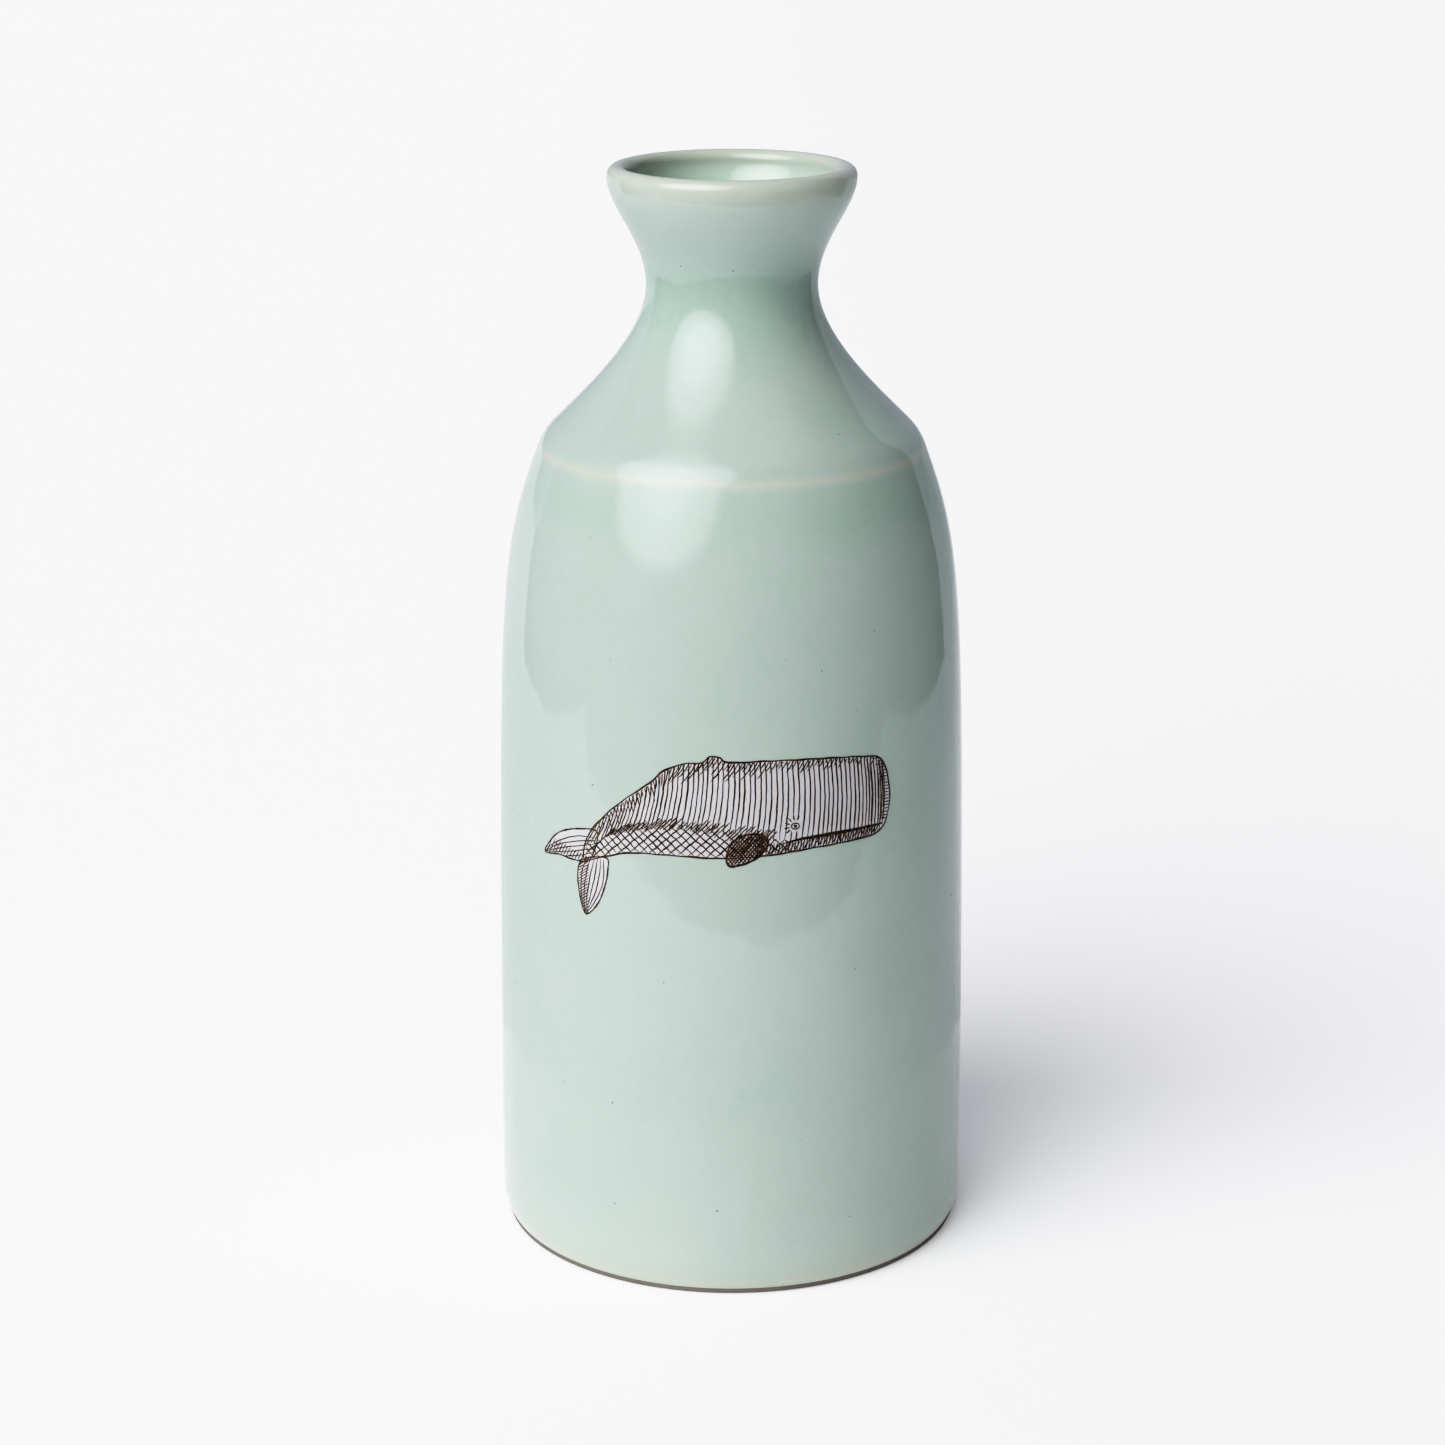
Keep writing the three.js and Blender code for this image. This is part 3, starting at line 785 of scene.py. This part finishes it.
def wrapped(points, lift):
    """Flat transfer points bent round the front of the wall, at a height above the glaze."""
    z = points[:, 1] + WHALE_HEIGHT
    turn = (points[:, 0] + WHALE_ARC) / BODY_RADIUS - math.pi / 2
    radius = wall_radius(turn, z) + lift
    return np.column_stack([radius * np.cos(turn), radius * np.sin(turn), z]) * MM


def printed_coat(name, points, faces, low, high):
    """A thin solid from a flat mesh, between two heights above the glaze."""
    points = np.array(points, float)
    count = len(points)
    used = {}
    for face in faces:
        for a, b in zip(face, face[1:] + face[:1]):
            used[(a, b)] = True
    border = [(a, b) for a, b in used if (b, a) not in used]
    top = [list(face) for face in faces]
    under = [[v + count for v in reversed(face)] for face in faces]
    walls = [[b, a, a + count, b + count] for a, b in border]
    mesh = bpy.data.meshes.new(name)
    vertices = np.vstack([wrapped(points, high), wrapped(points, low)])
    mesh.from_pydata(vertices.tolist(), [], top + under + walls)
    return mesh


def filled(outline, pitch=1.5):
    """A flat mesh that fills an outline, cut into a grid so that it can bend."""
    flat = bmesh.new()
    flat.faces.new([flat.verts.new((s, z, 0)) for s, z in outline])
    low, high = outline.min(axis=0), outline.max(axis=0)
    cuts = [((s, 0, 0), (1, 0, 0)) for s in np.arange(low[0] + pitch, high[0], pitch)]
    cuts += [((0, z, 0), (0, 1, 0)) for z in np.arange(low[1] + 2 * pitch, high[1], 2 * pitch)]
    for place_at, facing in cuts:
        everything = flat.verts[:] + flat.edges[:] + flat.faces[:]
        bmesh.ops.bisect_plane(flat, geom=everything, plane_co=place_at, plane_no=facing)
    bmesh.ops.triangulate(flat, faces=flat.faces[:])
    flat.normal_update()
    if sum(face.normal.z * face.calc_area() for face in flat.faces) < 0:
        bmesh.ops.reverse_faces(flat, faces=flat.faces[:])
    flat.verts.index_update()
    points = [(v.co.x, v.co.y) for v in flat.verts]
    faces = [[v.index for v in face.verts] for face in flat.faces]
    flat.free()
    return points, faces


print("wall radius behind the whale:", round(float(wall_radius(-math.pi / 2, WHALE_HEIGHT)), 2), "mm")

# %% [markdown]
# ## Transfer inks
#
# Two ceramic inks are printed: a pale lilac-white enamel that carries the whale's shape, and
# a sepia enamel for the lines.  Both are ground coloured glass, screen-printed and melted
# onto the glaze, so they are glossy but slightly softer than it.  The line ink is uneven
# where the screen starved it, so its brown varies over about 1 mm.

# %% Transfer inks
underprint, tree, shader, place = start_material("fired_lilac_white_enamel")
patch = add(tree, "TexNoise", {"Vector": place, "Scale": 1 / (2.5 * MM), "Detail": 4.0})
tones = {0: patch.outputs[0], 6: linear("#C8C6C9"), 7: linear("#BFC0C3")}
tone = add(tree, "Mix", tones, data_type="RGBA")
tree.links.new(tone.outputs[2], shader.inputs["Base Color"])
shader.inputs["Roughness"].default_value = 0.18
ripple = add(tree, "Bump", {"Height": patch.outputs[0], "Distance": 0.01 * MM})
tree.links.new(ripple.outputs[0], shader.inputs["Normal"])

line_ink, tree, shader, place = start_material("fired_sepia_enamel")
screen = {"Vector": place, "Scale": 1 / (1.1 * MM), "Detail": 3.0, "Roughness": 0.7}
starved = add(tree, "TexNoise", screen)
density = add(tree, "MapRange", {0: starved.outputs[0], 1: 0.35, 2: 0.68}).outputs[0]
sepia = add(tree, "Mix", {0: density, 6: linear("#281D15"), 7: linear("#64503C")}, data_type="RGBA")
tree.links.new(sepia.outputs[2], shader.inputs["Base Color"])
shader.inputs["Roughness"].default_value = 0.3
grain = add(tree, "Bump", {"Height": starved.outputs[0], "Distance": 0.008 * MM})
tree.links.new(grain.outputs[0], shader.inputs["Normal"])
print("inks:", underprint.name, line_ink.name)

# %% [markdown]
# ## The pale underprint
#
# The pale shape goes down first.  It is the whale's outline filled in, a few hundredths of a
# millimetre thick, so that the lines printed over it stand on white and not on green.

# %% Underprint
all_points, all_faces = [], []
for outline in (body_line, upper_fluke_line, lower_fluke_line, flipper_line):
    points, faces = filled(outline)
    all_faces += [[v + len(all_points) for v in face] for face in faces]
    all_points += points
finish_piece(
    "whale_underprint",
    printed_coat("whale_underprint", all_points, all_faces, -0.02, 0.03),
    underprint,
    "transfer_underprint",
    "transfer_ground",
)

# %% [markdown]
# ## Engraved lines
#
# An engraver builds tone from lines: upright lines that follow the round of the flank, short
# slanting strokes along the back where it turns away, and an open net on the belly.  Each
# line is a ribbon that swells and tapers and trembles a little, as a hand does.  A seeded
# random source gives the tremble, so the same drawing comes out every time.

# %% Strokes
hand = random.Random(7)


class Plate:
    """Collects the strokes of one part of the drawing and turns them into one mesh."""

    def __init__(self):
        self.points, self.faces = [], []

    def stroke(self, line, width, start=0.35, end=0.35, tremble=0.025):
        """A ribbon along a line; start and end are the share of its width left at each end."""
        line = np.array(line, float)
        if len(line) < 3:
            return
        along = np.linspace(0, 1, len(line))
        phase, beat = hand.uniform(0, 6.3), hand.uniform(1.5, 3.5)
        slow = np.sin(beat * 6.3 * along + phase)
        quick = np.sin(2.7 * beat * 6.3 * along + 2 * phase)
        shake = tremble * (slow + 0.5 * quick)
        run = np.gradient(line, axis=0)
        run /= np.maximum(np.linalg.norm(run, axis=1), 1e-9)[:, None]
        across = np.column_stack([-run[:, 1], run[:, 0]])
        line = line + across * shake[:, None]
        swelling = start + (1 - start) * along / 0.2
        thinning = end + (1 - end) * (1 - along) / 0.25
        taper = np.minimum(swelling, thinning)
        swell = 1 + 0.18 * np.sin(7 * along + 2 * phase)
        side = across * (0.5 * width * np.clip(taper, 0, 1) * swell)[:, None]
        first = len(self.points)
        self.points += (line + side).tolist() + (line - side).tolist()
        count = len(line)
        for i in range(count - 1):
            left, right = first + i, first + count + i
            self.faces.append([right, right + 1, left + 1, left])

    def ring(self, outline, width, tremble=0.03):
        """A closed line of nearly even width."""
        count = len(outline)
        run = np.roll(outline, -1, axis=0) - np.roll(outline, 1, axis=0)
        run /= np.linalg.norm(run, axis=1)[:, None]
        across = np.column_stack([-run[:, 1], run[:, 0]])
        along = np.linspace(0, 2 * math.pi, count, endpoint=False)
        half = 0.5 * width * (1 + 0.25 * np.sin(9 * along + 1) + 0.15 * np.sin(23 * along))
        side = across * half[:, None]
        line = outline + across * (tremble * np.sin(31 * along))[:, None]
        first = len(self.points)
        self.points += (line + side).tolist() + (line - side).tolist()
        for i in range(count):
            j = (i + 1) % count
            self.faces.append([first + count + i, first + count + j, first + j, first + i])

    def print_on(self, name, lift):
        """The finished strokes as a printed piece."""
        mesh = printed_coat(name, self.points, self.faces, 0.0, lift)
        finish_piece(name, mesh, line_ink, "transfer_ink", "transfer_lines")


def clipped(line, *outlines):
    """The longest run of a line that stays inside every outline."""
    keep = np.ones(len(line), bool)
    for outline in outlines:
        keep &= inside(outline, line)
    best, run = [], []
    for kept, point in zip(keep, line):
        run = run + [point] if kept else []
        if len(run) > len(best):
            best = run
    return np.array(best)


def straight(a, b, step=0.3, bow=0.0):
    """A line from a to b, bowed sideways by a share of its length."""
    a, b = np.array(a, float), np.array(b, float)
    length = np.linalg.norm(b - a)
    t = np.linspace(0, 1, max(4, int(length / step)))[:, None]
    across = np.array([-(b - a)[1], (b - a)[0]])
    return a + (b - a) * t + across * bow * np.sin(math.pi * t)


print("a straight 9 mm stroke has", len(straight((0, 0), (0, 9))), "points")

# %% [markdown]
# ## Contour and flank
#
# The contour comes first, then the upright lines.  Their spacing on the print is about
# 0.8 mm, closer at the snout, and each is a third of a millimetre wide or less.  Along the
# flank they lean with the body: forward on the back slope, upright at the head.

# %% Contour, flank and back
def edge_heights(s):
    """The heights of the body's lower and upper edge at a place along it."""
    a, b = body_line, np.roll(body_line, -1, axis=0)
    crossing = (a[:, 0] <= s) != (b[:, 0] <= s)
    share = (s - a[crossing, 0]) / (b[crossing, 0] - a[crossing, 0])
    heights = a[crossing, 1] + share * (b[crossing, 1] - a[crossing, 1])
    return heights.min(), heights.max()


def belly_top(s):
    """Where the upright lines of the flank stop and the belly's net begins."""
    low, high = edge_heights(float(np.clip(s, -19, 28)))
    share = np.interp(s, [-18, -12, -2, 8, 13, 28], [0.50, 0.40, 0.30, 0.20, 0.08, 0.0])
    return low + share * (high - low)


EYE = np.array([12.6, -0.5])
contour = Plate()
contour.ring(body_line, 0.21)
contour.ring(upper_fluke_line, 0.2)
contour.ring(lower_fluke_line, 0.2)
contour.print_on("whale_contour", 0.075)

flank = Plate()
s = -19.0
while s < 27.6:
    low, high = edge_heights(s)
    lean = np.interp(s, [-19, -8, 6, 28], [2.2, 1.5, 0.5, -0.2])
    bottom = belly_top(s - lean) + hand.uniform(-0.35, 0.35)
    line = straight((s - lean, bottom), (s, high + 0.3), bow=-0.035)
    line = clipped(line, body_line)
    width = hand.uniform(0.15, 0.215)
    if abs(s - EYE[0]) < 1.0:
        flank.stroke(line[line[:, 1] < EYE[1] - 0.7], width, start=0.4, end=0.4)
        line = line[line[:, 1] > EYE[1] + 0.8]
    flank.stroke(line, width, start=0.4, end=0.9)
    s += np.interp(s, [-19, 0, 20, 27], [0.62, 0.80, 0.76, 0.50]) * hand.uniform(0.86, 1.14)
flank.print_on("whale_flank_lines", 0.065)

back = Plate()
s = -18.5
while s < 26.5:
    low, high = edge_heights(s)
    reach = hand.uniform(0.9, 2.7) * np.interp(s, [-18, 0, 15, 26], [0.9, 1.3, 0.8, 0.5])
    lean = np.interp(s, [-10, -4], [0.35, -0.75]) * reach
    line = straight((s, high + 0.2), (s + lean, high - reach), bow=0.04)
    back.stroke(clipped(line, body_line), hand.uniform(0.12, 0.18), start=0.8, end=0.2)
    s += hand.uniform(0.42, 0.66)
s = -16.5
while s < 9:
    middle = belly_top(s)
    reach = hand.uniform(0.7, 1.6)
    line = straight((s + 0.8 * reach, middle + reach), (s - 0.8 * reach, middle - 0.6 * reach))
    back.stroke(clipped(line, body_line), hand.uniform(0.13, 0.2))
    s += hand.uniform(0.4, 0.7)
back.print_on("whale_back_shading", 0.07)

# %% [markdown]
# ## Belly net, jaw, flipper and eye
#
# The belly is pale, so its net is open: two slanting families of lines 1.5 mm apart.  The
# jaw is a narrow strip of close short lines under a heavy mouth line.  The flipper is the
# darkest mark, crossed so closely that it reads as solid.

# %% Belly net
def family(plate, outline, slant, pitch, width, keep=None, tremble=0.04):
    """Parallel lines across an outline at a slant, kept where the test allows."""
    low, high = outline.min(axis=0), outline.max(axis=0)
    tall = high[1] - low[1]
    shift = tall / math.tan(slant)
    s = low[0] - abs(shift)
    while s < high[0] + abs(shift):
        line = straight((s, low[1]), (s + shift, high[1]), step=0.22)
        line = clipped(line, outline)
        if keep is not None and len(line):
            allowed = np.array([keep(point) for point in line])
            line = line[allowed]
        plate.stroke(line, width * hand.uniform(0.85, 1.15), tremble=tremble)
        s += pitch * hand.uniform(0.9, 1.1)


def on_belly(point):
    """True under the flank's lines and behind the jaw."""
    return -21 < point[0] < 12 and point[1] < belly_top(point[0]) + 0.3


net = Plate()
family(net, body_line, math.radians(42), 1.5, 0.19, on_belly)
family(net, body_line, math.radians(140), 1.5, 0.19, on_belly)
net.print_on("whale_belly_net", 0.06)

# %% Jaw, mouth and snout
MOUTH = smooth_line([(10.5, -3.1), (14.2, -2.5), (20, -2.3), (27.6, -2.2)], 0.3, closed=False)
jaw = Plate()
jaw.stroke(MOUTH, 0.42, start=0.3, end=0.6, tremble=0.02)
s = 7.0
while s < 26.5:
    low, high = edge_heights(s)
    top = np.interp(s, MOUTH[:, 0], MOUTH[:, 1])
    line = straight((s - 0.35, low), (s, min(top + 0.2, low + 2.2)), step=0.15)
    jaw.stroke(line, 0.15, tremble=0.02)
    s += hand.uniform(0.4, 0.54)
s = 9.0
while s < 27:
    low, high = edge_heights(s)
    top = np.interp(s, MOUTH[:, 0], MOUTH[:, 1])
    line = straight((s - 0.8, low), (s + 0.3, min(top, low + 1.6)), step=0.15)
    jaw.stroke(line, 0.12, tremble=0.02)
    s += hand.uniform(0.6, 0.8)
for z in np.arange(-1.6, 8.2, 0.5):
    right = clipped(straight((24.0, z + 0.3), (29.6, z), step=0.12), body_line)
    if len(right) > 12:
        jaw.stroke(right[-int(hand.uniform(9, 17)) :], 0.12, tremble=0.015)
for s in (25.2, 25.95, 26.6, 27.2, 27.7):
    jaw.stroke(clipped(straight((s + 0.2, -1.5), (s, 7.6), bow=-0.04), body_line), 0.11, tremble=0.02)
jaw.print_on("whale_jaw_and_snout", 0.072)

# %% Flipper and eye
flipper = Plate()
flipper.ring(flipper_line, 0.3)
family(flipper, flipper_line, math.radians(50), 0.5, 0.24, tremble=0.015)
family(flipper, flipper_line, math.radians(128), 0.56, 0.17, tremble=0.015)
around = np.linspace(0, 2 * math.pi, 20, endpoint=False)
lid = EYE + np.column_stack([0.62 * np.cos(around), 0.46 * np.sin(around)])
pupil = EYE + np.column_stack([0.12 * np.cos(around), 0.12 * np.sin(around)])
flipper.ring(lid, 0.15, tremble=0.0)
flipper.ring(pupil, 0.24, tremble=0.0)
for angle in (70, 100, 130, 160, 190, 215):
    out = np.array([math.cos(math.radians(angle)), math.sin(math.radians(angle))])
    flipper.stroke(straight(EYE + 0.95 * out, EYE + 1.7 * out, step=0.12), 0.17, tremble=0.0)
flipper.print_on("whale_flipper_and_eye", 0.078)

# %% [markdown]
# ## The tail
#
# Lines on the flukes run from the root to the tip and fan out like the ribs of a leaf, and
# the trailing half is shaded with short cross strokes.

# %% Flukes
def fan(plate, outline, root, tip, count, spread, width=0.18):
    """Lines from a fluke's root to its tip that open out in the middle."""
    root, tip = np.array(root, float), np.array(tip, float)
    across = np.array([-(tip - root)[1], (tip - root)[0]]) / np.linalg.norm(tip - root)
    for i in range(count):
        side = spread * (2 * (i + 0.5) / count - 1)
        t = np.linspace(0, 1, 40)[:, None]
        opening = np.sin(math.pi * np.clip(t * 0.8 + 0.2, 0, 1)) ** 0.8
        line = root + (tip - root) * t + across * side * opening
        plate.stroke(clipped(line, outline), width, tremble=0.03)


tail = Plate()
fan(tail, upper_fluke_line, (-18.6, -5.2), (-29.7, -8.5), 6, 2.2, 0.15)
fan(tail, lower_fluke_line, (-18.8, -6.9), (-20.9, -16.2), 6, 2.4, 0.15)


def trailing_upper(point):
    """True on the trailing half of the upper fluke."""
    return point[1] < -6.4 - 0.2 * (point[0] + 24)


def trailing_lower(point):
    """True on the trailing half of the lower fluke."""
    return point[0] < -20.2


family(tail, upper_fluke_line, math.radians(60), 0.62, 0.14, trailing_upper, 0.02)
family(tail, lower_fluke_line, math.radians(35), 0.62, 0.14, trailing_lower, 0.02)
tail.print_on("whale_fluke_lines", 0.068)
